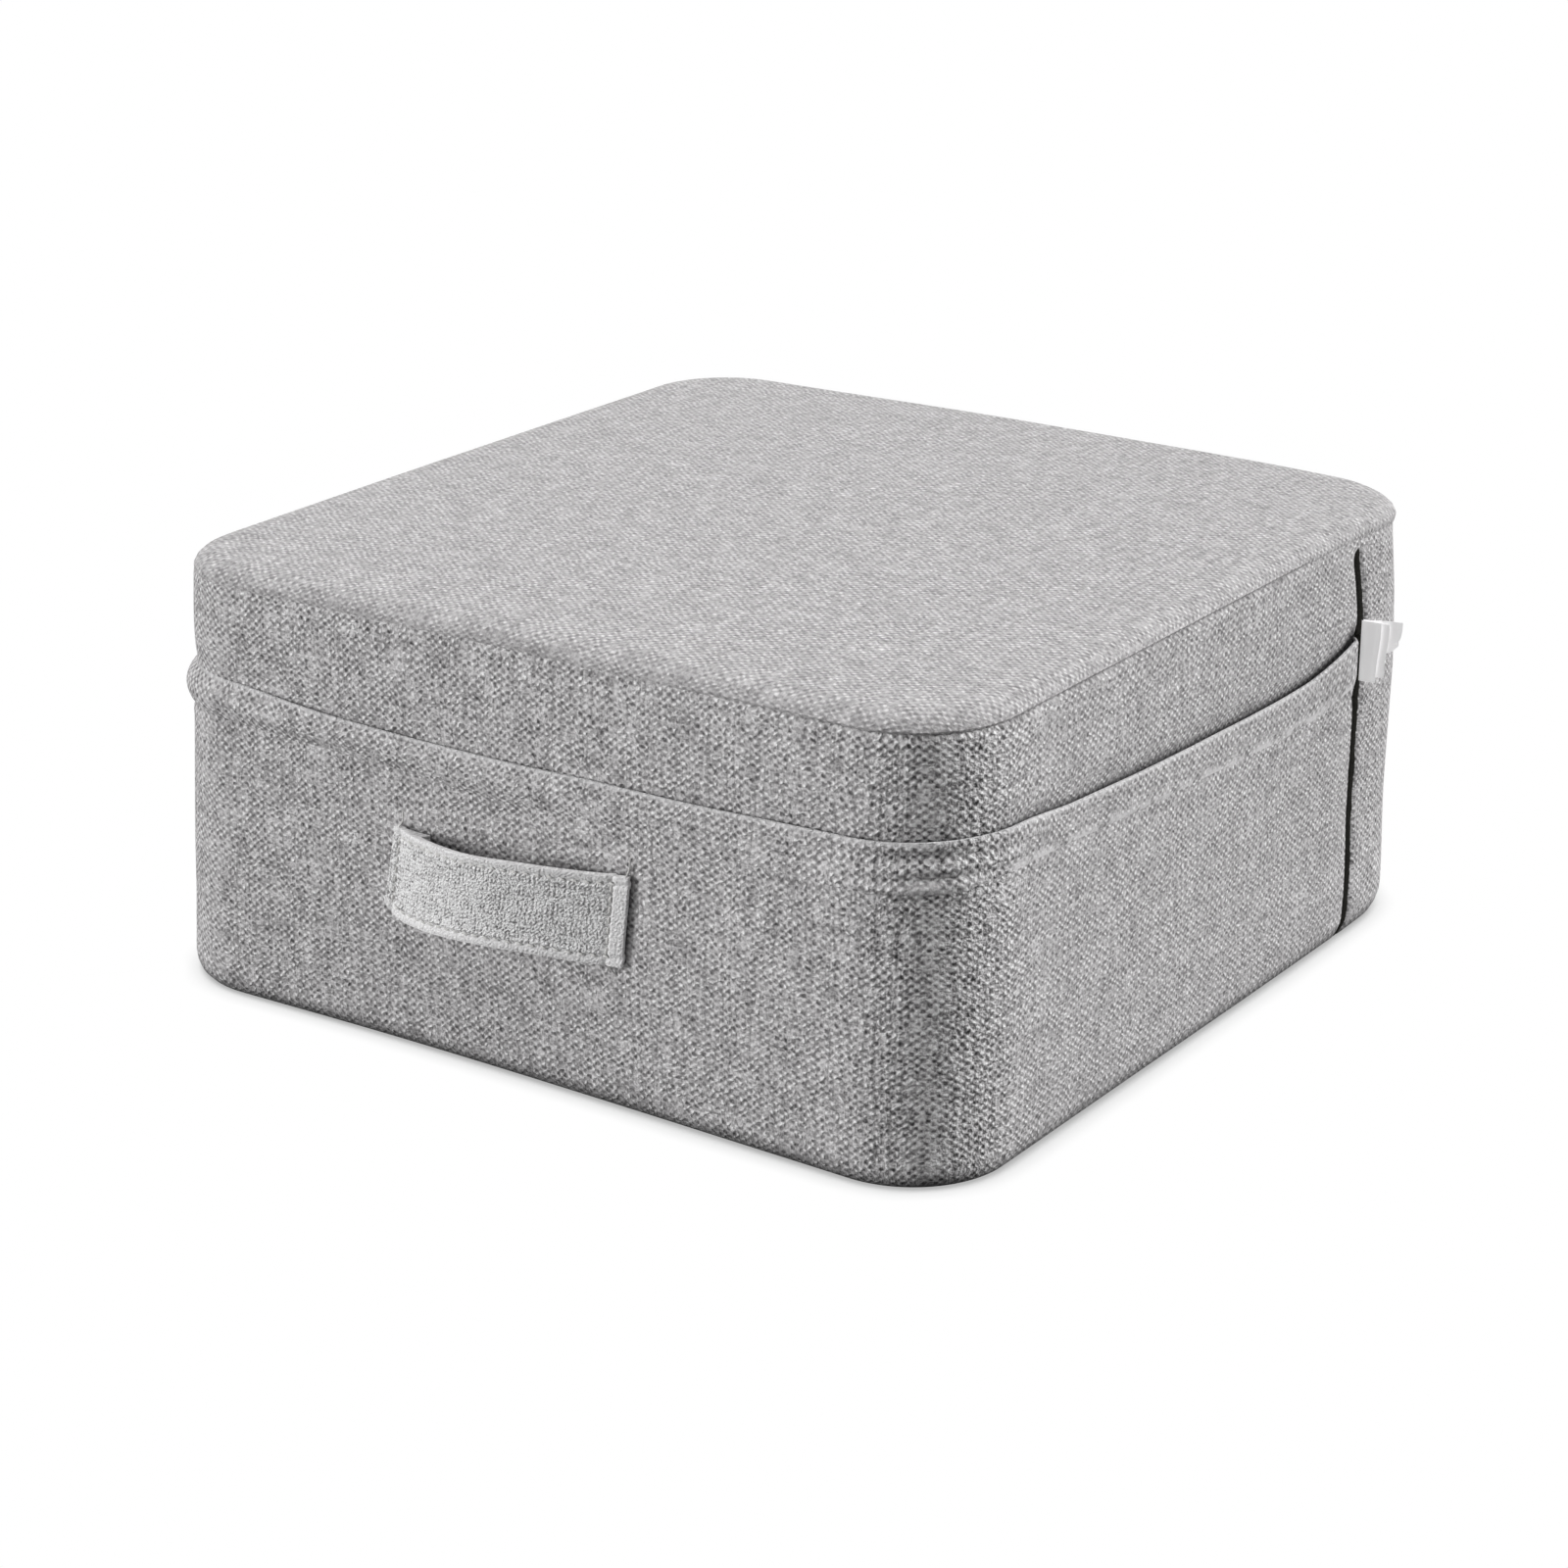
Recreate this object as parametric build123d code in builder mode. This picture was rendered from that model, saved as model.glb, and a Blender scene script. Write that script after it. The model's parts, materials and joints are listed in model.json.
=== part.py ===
from build123d import *

import math
import os

# Square fabric storage bin with a padded flip lid.
#
# The case is a sewn fabric shell over foam padding and flat stiffening boards, lined inside.
# A doubled collar of fabric stands up round the front and sides and keeps the lid in place.
# The lid is a boxed cushion on a board, and it swings on a fold in the back panel.
#
# Units are millimetres. +Z is up, the front with the handle faces -Y, and the origin is the
# middle of the base, on the surface that the bin stands on.

# Overall sizes
body_width = 190.0
body_depth = 190.0
rim_height = 66.0
total_height = 91.0
corner_radius = 22.0
base_edge_radius = 3.0
top_edge_radius = 5.0

# Layers of the sewn wall, base and lid
cover_thickness = 0.9
padding_thickness = 3.0
board_thickness = 2.0
lining_thickness = 0.8
base_board_thickness = 2.5
lid_board_thickness = 2.0

# Collar that stands up round the lid
collar_height = 7.0
collar_lap = 2.0
collar_thickness = 1.5
lid_clearance = 0.3
lid_inset = 1.2

# Upright seams near the back, and the fold that the lid swings on
seam_from_back = 33.5
seam_gap = 1.2
seam_tape_thickness = 0.5
seam_tape_play = 0.1
hinge_fold_radius = 0.45
hinge_fold_play = 0.1

# Carrying handle on the front
handle_span = 58.0
handle_height = 19.0
handle_centre_height = 38.5
handle_centre_x = -2.0
handle_bow = 7.0
handle_tab = 4.0
handle_end_radius = 12.0
strap_thickness = 1.8

# Sewn-in label, two leaves of ribbon, on the right-hand end of the collar
label_thickness = 0.4
label_bottom = 55.0
label_stand_off = 0.1
hanging_leaf_height = 12.0
hanging_leaf_reach = 6.5
hanging_leaf_gap = 1.9
flying_leaf_height = 6.5
flying_leaf_out = 7.0
flying_leaf_back = 3.0

# Levels
ledge_height = rim_height - collar_height
core_bottom = cover_thickness + base_board_thickness
core_top = ledge_height - lining_thickness
lid_bottom = ledge_height + lid_clearance
top_seam_height = total_height - top_edge_radius
hinge_height = ledge_height + lid_clearance / 2

# Places across the bin
front_face = -body_depth / 2
back_face = body_depth / 2
seam_y = back_face - seam_from_back
seam_front = seam_y - seam_gap / 2
seam_back = seam_y + seam_gap / 2
straight_width = body_width - 2 * corner_radius
straight_depth = body_depth - 2 * corner_radius

# Depths of the layers below the outer face of the wall
padding_depth = cover_thickness
board_depth = padding_depth + padding_thickness
lining_depth = board_depth + board_thickness
room_depth = lining_depth + lining_thickness

# Outline of the lid, whose back face stays in line with the back of the case
lid_width = body_width - 2 * lid_inset
lid_depth = body_depth - lid_inset
lid_centre_y = lid_inset / 2
lid_corner_radius = corner_radius - lid_inset


def wall_outline(depth, mode=Mode.ADD):
    """Draws the outline of the case, taken in by a depth below its outer face."""
    RectangleRounded(
        body_width - 2 * depth,
        body_depth - 2 * depth,
        corner_radius - depth,
        mode=mode,
    )


def lid_outline(depth):
    """Draws the outline of the lid, taken in by a depth below its outer face."""
    with Locations((0, lid_centre_y)):
        RectangleRounded(
            lid_width - 2 * depth,
            lid_depth - 2 * depth,
            lid_corner_radius - depth,
        )


def case_shell():
    """The outer fabric of the case up to the ledge, before it is cut into its panels."""
    with BuildPart() as shell:
        with BuildSketch():
            wall_outline(0)
        extrude(amount=ledge_height)
        fillet(shell.faces().sort_by(Axis.Z)[0].edges(), base_edge_radius)
        offset(amount=-cover_thickness, openings=shell.faces().sort_by(Axis.Z)[-1])
    return shell.part


def lid_shell():
    """The outer fabric of the lid, open underneath, before it is cut into its panels."""
    with BuildPart() as shell:
        with BuildSketch(Plane.XY.offset(lid_bottom)):
            lid_outline(0)
        extrude(amount=total_height - lid_bottom)
        fillet(shell.faces().sort_by(Axis.Z)[-1].edges(), top_edge_radius)
        offset(amount=-cover_thickness, openings=shell.faces().sort_by(Axis.Z)[0])
    return shell.part


# Case covers: the base panel, the wrap of front and sides, and the lower back panel

with BuildPart() as base_cover:
    with BuildSketch():
        wall_outline(base_edge_radius)
    extrude(amount=cover_thickness)

with BuildPart() as case_cover:
    add(case_shell())
    with BuildSketch():
        wall_outline(base_edge_radius)
    extrude(amount=cover_thickness, mode=Mode.SUBTRACT)
    split(bisect_by=Plane.XZ.offset(-seam_front), keep=Keep.TOP)

with BuildPart() as rear_cover:
    add(case_shell())
    with BuildSketch():
        wall_outline(base_edge_radius)
    extrude(amount=cover_thickness, mode=Mode.SUBTRACT)
    split(bisect_by=Plane.XZ.offset(-seam_back), keep=Keep.BOTTOM)
    split(
        bisect_by=Plane.XY.offset(hinge_height - hinge_fold_radius - hinge_fold_play),
        keep=Keep.BOTTOM,
    )

# Collar: a doubled strip, sewn round the top of the wrap and standing up past the ledge

with BuildPart() as collar:
    with BuildSketch(Plane.XY.offset(ledge_height - collar_lap)):
        wall_outline(-collar_thickness)
        wall_outline(0, mode=Mode.SUBTRACT)
    extrude(amount=collar_lap + collar_height)
    split(bisect_by=Plane.XZ.offset(-seam_front), keep=Keep.TOP)

# Core of the wall: foam padding all round, flat boards on the four sides, bent corner strips

with BuildPart() as wall_padding:
    with BuildSketch(Plane.XY.offset(core_bottom)):
        wall_outline(padding_depth)
        wall_outline(board_depth, mode=Mode.SUBTRACT)
    extrude(amount=core_top - core_bottom)

board_reach_x = body_width / 2 - board_depth - board_thickness / 2
board_reach_y = body_depth / 2 - board_depth - board_thickness / 2
board_places = {
    "front_board": (0, -board_reach_y, straight_width, board_thickness),
    "rear_board": (0, board_reach_y, straight_width, board_thickness),
    "left_board": (-board_reach_x, 0, board_thickness, straight_depth),
    "right_board": (board_reach_x, 0, board_thickness, straight_depth),
}
boards = {}
for board_name, (board_x, board_y, board_length_x, board_length_y) in board_places.items():
    with BuildPart() as board:
        with BuildSketch(Plane.XY.offset(core_bottom)):
            with Locations((board_x, board_y)):
                Rectangle(board_length_x, board_length_y)
        extrude(amount=core_top - core_bottom)
    boards[board_name] = board

with BuildPart() as corner_strips:
    with BuildSketch(Plane.XY.offset(core_bottom)):
        wall_outline(board_depth)
        wall_outline(lining_depth, mode=Mode.SUBTRACT)
        Rectangle(straight_width, body_depth, mode=Mode.SUBTRACT)
        Rectangle(body_width, straight_depth, mode=Mode.SUBTRACT)
    extrude(amount=core_top - core_bottom)

with BuildPart() as base_board:
    with BuildSketch(Plane.XY.offset(cover_thickness)):
        wall_outline(base_edge_radius)
    extrude(amount=base_board_thickness)

# Lining: a sheet inside the boards that turns out over their top edges, and a floor sheet

with BuildPart() as wall_lining:
    with BuildSketch(Plane.XY.offset(core_bottom)):
        wall_outline(lining_depth)
        wall_outline(room_depth, mode=Mode.SUBTRACT)
    extrude(amount=ledge_height - core_bottom)
    with BuildSketch(Plane.XY.offset(core_top)):
        wall_outline(padding_depth)
        wall_outline(room_depth, mode=Mode.SUBTRACT)
    extrude(amount=lining_thickness)

with BuildPart() as base_lining:
    with BuildSketch(Plane.XY.offset(core_bottom)):
        wall_outline(room_depth)
    extrude(amount=lining_thickness)

# Handle: one strap, flat against the wrap at its two sewn ends and bowed out between them

bow_half_span = handle_span / 2 - handle_tab
bow_angle = 2 * math.degrees(math.atan(handle_bow / bow_half_span))
bow_radius = bow_half_span / math.sin(math.radians(bow_angle)) - handle_end_radius

with BuildPart() as handle_strap:
    with BuildSketch(Plane.XY.offset(handle_centre_height - handle_height / 2)):
        with BuildLine():
            left_end = Line(
                (handle_centre_x - handle_span / 2, front_face),
                (handle_centre_x - bow_half_span, front_face),
            )
            lift = JernArc(left_end @ 1, left_end % 1, handle_end_radius, -bow_angle)
            bow = JernArc(lift @ 1, lift % 1, bow_radius, 2 * bow_angle)
            landing = JernArc(bow @ 1, bow % 1, handle_end_radius, -bow_angle)
            Line(landing @ 1, (handle_centre_x + handle_span / 2, front_face))
            offset(amount=strap_thickness, side=Side.RIGHT)
        make_face()
    extrude(amount=handle_height)

# Tapes that back the two upright seams of the case


def seam_tapes(outer_width, bottom, top):
    """Two strips that lie on the padding in the seam gaps, below the faces of the covers."""
    tape_x = outer_width / 2 - cover_thickness + seam_tape_thickness / 2
    with BuildPart() as tapes:
        with BuildSketch(Plane.XY.offset(bottom)):
            with Locations((-tape_x, seam_y), (tape_x, seam_y)):
                Rectangle(seam_tape_thickness, seam_gap - 2 * seam_tape_play)
        extrude(amount=top - bottom)
    return tapes


case_seam_tapes = seam_tapes(body_width, core_bottom, core_top)

# Label: a leaf that hangs along the wall and a leaf that stands out from it

label_y = seam_front + label_thickness
label_root = (body_width / 2 + label_stand_off, label_y)
label_bend = (body_width / 2 + hanging_leaf_gap, label_y)
hanging_tip = (body_width / 2 + hanging_leaf_gap, label_y + hanging_leaf_reach)
flying_tip = (label_bend[0] + flying_leaf_out, label_y + flying_leaf_back)

with BuildPart() as care_label:
    with BuildSketch(Plane.XY.offset(label_bottom)):
        with BuildLine():
            Polyline(label_root, label_bend, hanging_tip)
            offset(amount=label_thickness, side=Side.RIGHT)
        make_face()
    extrude(amount=hanging_leaf_height)
    label_top = label_bottom + hanging_leaf_height
    with BuildSketch(Plane.XY.offset(label_top - flying_leaf_height)):
        with BuildLine():
            Polyline(label_root, label_bend, flying_tip)
            offset(amount=label_thickness, side=Side.RIGHT)
        make_face()
    extrude(amount=flying_leaf_height)

# Fold of the back panel on the hinge line, between the two back corners

with BuildPart() as hinge_fold:
    with BuildSketch(Plane.YZ.offset(-straight_width / 2)):
        with Locations((back_face, hinge_height)):
            Circle(hinge_fold_radius)
    extrude(amount=straight_width)

# Lid covers: the top panel, the boxing strip round front and sides, and the upper back panel

with BuildPart() as lid_top_cover:
    add(lid_shell())
    split(bisect_by=Plane.XY.offset(top_seam_height), keep=Keep.TOP)

with BuildPart() as lid_side_cover:
    add(lid_shell())
    split(bisect_by=Plane.XY.offset(top_seam_height), keep=Keep.BOTTOM)
    split(bisect_by=Plane.XZ.offset(-seam_front), keep=Keep.TOP)

with BuildPart() as lid_rear_cover:
    add(lid_shell())
    split(bisect_by=Plane.XY.offset(top_seam_height), keep=Keep.BOTTOM)
    split(bisect_by=Plane.XZ.offset(-seam_back), keep=Keep.BOTTOM)
    split(
        bisect_by=Plane.XY.offset(hinge_height + hinge_fold_radius + hinge_fold_play),
        keep=Keep.TOP,
    )

# Core of the lid: lining underneath, a board, and the foam pad that fills the covers

with BuildPart() as lid_lining:
    with BuildSketch(Plane.XY.offset(lid_bottom)):
        lid_outline(cover_thickness)
    extrude(amount=lining_thickness)

with BuildPart() as lid_board:
    with BuildSketch(Plane.XY.offset(lid_bottom + lining_thickness)):
        lid_outline(cover_thickness)
    extrude(amount=lid_board_thickness)

foam_bottom = lid_bottom + lining_thickness + lid_board_thickness
with BuildPart() as lid_foam:
    with BuildSketch(Plane.XY.offset(foam_bottom)):
        lid_outline(cover_thickness)
    extrude(amount=total_height - cover_thickness - foam_bottom)
    fillet(
        lid_foam.faces().sort_by(Axis.Z)[-1].edges(),
        top_edge_radius - cover_thickness,
    )

lid_seam_tapes = seam_tapes(lid_width, lid_bottom, top_seam_height)

# One STEP file for each piece

pieces = {
    "base_cover": base_cover,
    "case_cover": case_cover,
    "rear_cover": rear_cover,
    "collar": collar,
    "wall_padding": wall_padding,
    **boards,
    "corner_strips": corner_strips,
    "base_board": base_board,
    "wall_lining": wall_lining,
    "base_lining": base_lining,
    "handle_strap": handle_strap,
    "case_seam_tapes": case_seam_tapes,
    "care_label": care_label,
    "hinge_fold": hinge_fold,
    "lid_top_cover": lid_top_cover,
    "lid_side_cover": lid_side_cover,
    "lid_rear_cover": lid_rear_cover,
    "lid_lining": lid_lining,
    "lid_board": lid_board,
    "lid_foam": lid_foam,
    "lid_seam_tapes": lid_seam_tapes,
}

os.makedirs("parts", exist_ok=True)
for piece_name, piece in pieces.items():
    piece.part.label = piece_name
    export_step(piece.part, f"parts/{piece_name}.step")
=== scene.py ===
import json
import math

import bpy
from mathutils import Matrix, Vector, noise


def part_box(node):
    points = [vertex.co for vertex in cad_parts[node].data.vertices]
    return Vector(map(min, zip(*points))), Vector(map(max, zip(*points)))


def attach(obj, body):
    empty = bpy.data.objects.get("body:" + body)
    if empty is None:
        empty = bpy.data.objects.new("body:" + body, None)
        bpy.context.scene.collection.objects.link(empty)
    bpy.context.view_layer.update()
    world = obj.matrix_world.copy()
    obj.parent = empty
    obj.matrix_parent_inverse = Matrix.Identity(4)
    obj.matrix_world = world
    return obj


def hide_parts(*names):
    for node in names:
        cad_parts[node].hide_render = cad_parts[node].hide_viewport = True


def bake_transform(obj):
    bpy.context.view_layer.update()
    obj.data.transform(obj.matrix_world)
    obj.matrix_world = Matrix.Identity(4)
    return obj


# Looks of a square fabric storage bin with a padded flip lid.
# Every cloth panel starts as a flat grid of its cut size, with its UV map in metres, and is then
# laid round the walls or over the pad, so that the weave keeps its real scale all over.

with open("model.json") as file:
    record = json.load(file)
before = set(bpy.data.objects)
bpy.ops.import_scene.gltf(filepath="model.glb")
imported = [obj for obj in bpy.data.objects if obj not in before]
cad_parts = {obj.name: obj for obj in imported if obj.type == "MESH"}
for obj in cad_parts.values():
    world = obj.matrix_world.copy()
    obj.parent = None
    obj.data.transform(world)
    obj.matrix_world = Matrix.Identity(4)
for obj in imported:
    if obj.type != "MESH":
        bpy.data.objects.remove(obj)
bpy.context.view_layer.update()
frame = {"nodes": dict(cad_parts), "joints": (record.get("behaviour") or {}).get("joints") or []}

MM = 0.001

# Places that the frame gives
wrap_low, wrap_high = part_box("case_cover")
boxing_low, boxing_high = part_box("lid_side_cover")
top_low, top_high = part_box("lid_top_cover")
strap_low, strap_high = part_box("handle_strap")
label_low, label_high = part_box("care_label")
floor_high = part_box("base_lining")[1]
foam_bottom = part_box("lid_foam")[0].z
hinge = Vector(frame["joints"][0]["pos_m"])

half_width = wrap_high.x
half_depth = -wrap_low.y
ledge = wrap_high.z
rim_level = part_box("collar")[1].z
seam_front = wrap_high.y
seam_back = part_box("rear_cover")[0].y
seam_middle = (seam_front + seam_back) / 2
lid_half_width = boxing_high.x
lid_front = boxing_low.y
lid_back = top_high.y
lid_half_depth = (lid_back - lid_front) / 2
lid_centre_y = (lid_front + lid_back) / 2
lid_bottom = boxing_low.z

# Cloth and sewing sizes
corner_radius = 22 * MM
lid_corner_radius = corner_radius - (half_width - lid_half_width)
floor_radius = corner_radius - (half_width - floor_high.x)
base_edge_in = 3 * MM
base_edge_up = 5 * MM
cloth_thickness = 0.9 * MM
collar_thickness = 0.35 * MM
lining_thickness = 0.4 * MM
binding_thickness = 0.4 * MM
ribbon_thickness = 0.14 * MM
cloth_step = 1.4 * MM
seam_roll = 1.0 * MM
seam_groove = 0.5 * MM
seam_spread = 0.4 * MM
slit = 0.05 * MM

# Half width, half depth and corner radius of the case, the lid and the room inside
case_wall = half_width, half_depth, corner_radius
lid_wall = lid_half_width, lid_half_depth, lid_corner_radius
room_wall = floor_high.x, floor_high.y, floor_radius

# Lid: the top seam, the soft roll above it, the crown, the lean of its back and its lower hem
top_seam = top_low.z + 0.6 * MM
top_roll_out = 6 * MM
top_roll_up = 3.4 * MM
top_crown = 1.9 * MM
back_lean = 1.0 * MM
bottom_roll = 1.2 * MM
lid_hem = 2.4 * MM
pad_taper = 0.968

# Handle: the strap, its rows of stitches from its edges and ends, and the sewn band at its right end
strap_thickness = 1.1 * MM
strap_width = strap_high.x - strap_low.x
strap_height = 18.2 * MM
stitch_inset = 1.7 * MM
left_stitches = 2.0 * MM
right_stitches = 3.6 * MM
end_band = 3 * MM


# Small tools

def linear(hex_colour):
    """An sRGB hex colour as the linear colour that a shader takes."""
    channels = [int(hex_colour[i:i + 2], 16) / 255 for i in (1, 3, 5)]
    return [c / 12.92 if c <= 0.04045 else ((c + 0.055) / 1.055) ** 2.4 for c in channels] + [1.0]


def add(tree, kind, inputs=(), stops=(), **settings):
    """Adds one node with its settings and its (position, hex colour) stops, and fills its inputs with
    values or from other nodes. A node given as an input stands for its first output that is in use."""
    node = tree.nodes.new("ShaderNode" + kind)
    for name, value in settings.items():
        setattr(node, name, value)
    if stops:
        elements = node.color_ramp.elements
        while len(elements) < len(stops):
            elements.new(0.5)
        for element, (position, colour) in zip(elements, stops):
            element.position = position
            element.color = linear(colour)
    for key, value in dict(inputs).items():
        if isinstance(value, bpy.types.Node):
            value = next(output for output in value.outputs if not output.is_unavailable)
        if isinstance(value, bpy.types.NodeSocket):
            tree.links.new(value, node.inputs[key])
        else:
            node.inputs[key].default_value = value
    return node


def pick(piece):
    """Leaves one piece selected and active."""
    bpy.ops.object.select_all(action="DESELECT")
    piece.select_set(True)
    bpy.context.view_layer.objects.active = piece


def apply_modifier(piece, kind, **settings):
    """Adds a modifier to a piece and applies it."""
    pick(piece)
    modifier = piece.modifiers.new(kind.title(), kind)
    for name, value in settings.items():
        setattr(modifier, name, value)
    bpy.ops.object.modifier_apply(modifier=modifier.name)


def new_object(name, data):
    """Puts a new object in the scene."""
    made = bpy.data.objects.new(name, data)
    bpy.context.scene.collection.objects.link(made)
    return made


def smooth(low, high, value):
    """Goes from 0 at low to 1 at high, with no sudden change of slope."""
    t = min(max((value - low) / (high - low), 0.0), 1.0)
    return t * t * (3 - 2 * t)


def hill(value, middle, reach):
    """A soft hump of height 1 at the middle that dies away over its reach."""
    return math.exp(-((value - middle) / reach) ** 2)


def ripple(x, y, size, seed):
    """Uneven soft waves between about -1 and 1, each about the given size across."""
    return noise.noise(Vector((x / size, y / size, seed)))


def through(points, place):
    """Height at a place on a smooth line through a few (place, height) points."""
    last = len(points) - 1
    if place <= points[0][0]:
        return points[0][1]
    if place >= points[last][0]:
        return points[last][1]
    i = next(k for k in range(last) if place <= points[k + 1][0])
    slopes = []
    for k in (i, i + 1):
        before, after = points[max(k - 1, 0)], points[min(k + 1, last)]
        slopes.append((after[1] - before[1]) / (after[0] - before[0]))
    (start, low), (end, high) = points[i], points[i + 1]
    span = end - start
    t = (place - start) / span
    return (
        (1 + 2 * t) * (1 - t) ** 2 * low
        + t * (1 - t) ** 2 * span * slopes[0]
        + t * t * (3 - 2 * t) * high
        + t * t * (t - 1) * span * slopes[1]
    )


def read_off(line, place):
    """What a line of points in millimetres gives at a place, in metres."""
    return MM * through(line, place / MM)


def flat_cloth(name, width, length, step=cloth_step, step_up=None):
    """A cloth of its cut size, flat about the origin, with its UV map in metres."""
    bpy.ops.object.select_all(action="DESELECT")
    bpy.ops.mesh.primitive_grid_add(
        x_subdivisions=max(2, round(width / step)),
        y_subdivisions=max(2, round(length / (step_up or step))),
        size=1,
        location=(0, 0, 0),
    )
    cloth = bpy.context.object
    cloth.name = cloth.data.name = name
    bpy.ops.transform.resize(value=(width, length, 1))
    bpy.ops.object.transform_apply(location=True, rotation=True, scale=True)
    map_flat(cloth)
    return cloth


def map_flat(cloth):
    """Sets a flat cloth's UV map to where its points are, in metres."""
    for corner in cloth.data.loops:
        spot = cloth.data.vertices[corner.vertex_index].co
        cloth.data.uv_layers.active.data[corner.index].uv = (spot.x, spot.y)


def lay(cloth, place):
    """Moves every point of a flat cloth to where place(across, up) says."""
    for point in cloth.data.vertices:
        point.co = place(point.co.x, point.co.y)


def thicken(cloth, thickness):
    """Gives a cloth its thickness, on the inner side."""
    apply_modifier(cloth, "SOLIDIFY", thickness=thickness, offset=-1)


def join_ends(band):
    """Joins the two ends of a band that goes all the way round."""
    pick(band)
    bpy.ops.object.mode_set(mode="EDIT")
    bpy.ops.mesh.select_all(action="SELECT")
    bpy.ops.mesh.remove_doubles(threshold=0.02 * MM)
    bpy.ops.object.mode_set(mode="OBJECT")


def coat(piece, material):
    """Shades a finished piece smooth and gives it its material."""
    pick(piece)
    bpy.ops.object.shade_smooth_by_angle(angle=math.radians(50))
    piece.data.materials.clear()
    piece.data.materials.append(material)


def dress(piece, body, material):
    """Coats a finished piece and puts it on its body."""
    coat(piece, material)
    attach(piece, body)


def make_up(cloth, place, thickness, body, material, closed=False):
    """Lays a flat cloth in place, thickens it and dresses it. A closed one meets itself at its ends."""
    lay(cloth, place)
    if closed:
        join_ends(cloth)
    thicken(cloth, thickness)
    dress(cloth, body, material)


# Materials

def start_material(name):
    """A material with no nodes yet, and its tree."""
    material = bpy.data.materials.new(name)
    material.use_nodes = True
    material.node_tree.nodes.clear()
    return material, material.node_tree


def finish_material(material, colour, relief, surface):
    """Gives a material its shader, with its colour, its relief as (height, depth, strength) and the
    values that are the same all over it."""
    tree = material.node_tree
    height, depth, strength = relief
    bump = add(tree, "Bump", {"Height": height, "Distance": depth, "Strength": strength})
    shader = add(tree, "BsdfPrincipled", {"Base Color": colour, "Normal": bump, **surface})
    add(tree, "OutputMaterial", {"Surface": shader})
    return material


def weave(tree, coordinates, across, up, even=False):
    """A plain weave of uneven yarns, one every `across` metres along the first axis and one every `up`
    metres along the second. Gives the dark pits where crosswise yarns lie low between the upright ones,
    the light and dark along the yarns, and the bright beads where upright yarns crest; the cover and
    strap materials paint shade into the pits and highlights onto the beads, over the weave's own pattern.
    An even weave wanders less, and its crests stand in a square grid."""
    wander = 0.65 if even else 1.0
    turn = 2 * math.pi if even else math.pi
    wandering = coordinates
    for size, far in ((6.0, 1.5), (1.6, 0.9)):
        drift = add(
            tree, "TexNoise", {"Vector": coordinates, "Scale": 1 / (size * across), "Detail": 1.0},
        )
        wandering = add(
            tree, "VectorMath",
            {0: drift.outputs["Color"], 1: [far * across * wander] * 3, 2: wandering},
            operation="MULTIPLY_ADD",
        )
    counted = add(tree, "VectorMath", {0: wandering, 1: (1 / across, 1 / up, 0)}, operation="MULTIPLY")
    crossing = add(tree, "VectorMath", {0: counted, 1: (0.5, 0.5, 0)}, operation="ADD")
    crossing = add(tree, "VectorMath", {0: crossing}, operation="FLOOR")
    chance = add(tree, "TexWhiteNoise", {"Vector": crossing}, noise_dimensions="2D")
    turns = add(tree, "VectorMath", {0: counted, 1: [turn] * 3}, operation="MULTIPLY")
    swing = add(tree, "VectorMath", {0: turns}, operation="COSINE")
    swing_across, swing_up, _ = add(tree, "SeparateXYZ", {0: swing}).outputs
    crest = add(
        tree, "Math", {0: swing_across, 1: swing_up}, operation="MINIMUM" if even else "MULTIPLY",
    )
    spots = []
    for low, high, least, most in ((0.3, -0.9, 0.2, 1.1), (0.1, 1.0, -0.2, 1.2)):
        spot = add(
            tree, "MapRange", {"Value": crest, "From Min": low, "From Max": high},
            interpolation_type="SMOOTHSTEP",
        )
        depth = add(tree, "MapRange", {"Value": chance, "To Min": least, "To Max": most})
        spots.append(add(tree, "Math", {0: spot, 1: depth}, operation="MULTIPLY"))
    pit, bead = spots
    slubs = []
    for stretch in ((1.0, 0.09, 0), (0.09, 1.0, 0)):
        drawn = add(tree, "VectorMath", {0: counted, 1: stretch}, operation="MULTIPLY")
        slubs.append(add(
            tree, "TexNoise", {"Vector": drawn, "Scale": 1.0, "Detail": 1.0}, noise_dimensions="2D",
        ))
    slub = add(tree, "Math", dict(enumerate(slubs)), operation="ADD")
    return pit, slub, bead


def weighed(tree, *terms):
    """Adds up (value, weight) pairs."""
    total = 0.0
    for value, weight in terms:
        total = add(tree, "Math", {0: value, 1: weight, 2: total}, operation="MULTIPLY_ADD")
    return total


def off_line(tree, value, line):
    """How far a value is from a line, on either side of it."""
    over = add(tree, "Math", {0: value, 1: line}, operation="SUBTRACT")
    return add(tree, "Math", {0: over}, operation="ABSOLUTE")


def shared(tree, share, *ranges, **settings):
    """Multiplies a share by each (value, start, end, first, last) range, which gives first up to its
    start and last from its end on."""
    for value, start, end, first, last in ranges:
        part = add(
            tree, "MapRange",
            {"Value": value, "From Min": start, "From Max": end, "To Min": first, "To Max": last},
            **settings,
        )
        share = add(tree, "Math", {0: part, 1: share}, operation="MULTIPLY")
    return share


def pressed_flat(tree, place, tone):
    """Flattens the weave in patches along the sewn edge of the folded strip, on its right-hand part."""
    flat_tone = 0.72
    along, rise, _ = add(tree, "SeparateXYZ", {0: place}).outputs
    uneven = add(tree, "TexNoise", {"Vector": place, "Scale": 1 / (7 * MM)})
    share = shared(
        tree, 0.85,
        (along, 75 * MM, 110 * MM, 0.0, 1.0),
        (rise, -5.8 * MM, -7.4 * MM, 0.0, 1.0),
        (uneven, 0.42, 0.52, 0.0, 1.0),
    )
    return add(tree, "Mix", {"Factor": share, "A": tone, "B": flat_tone})


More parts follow.
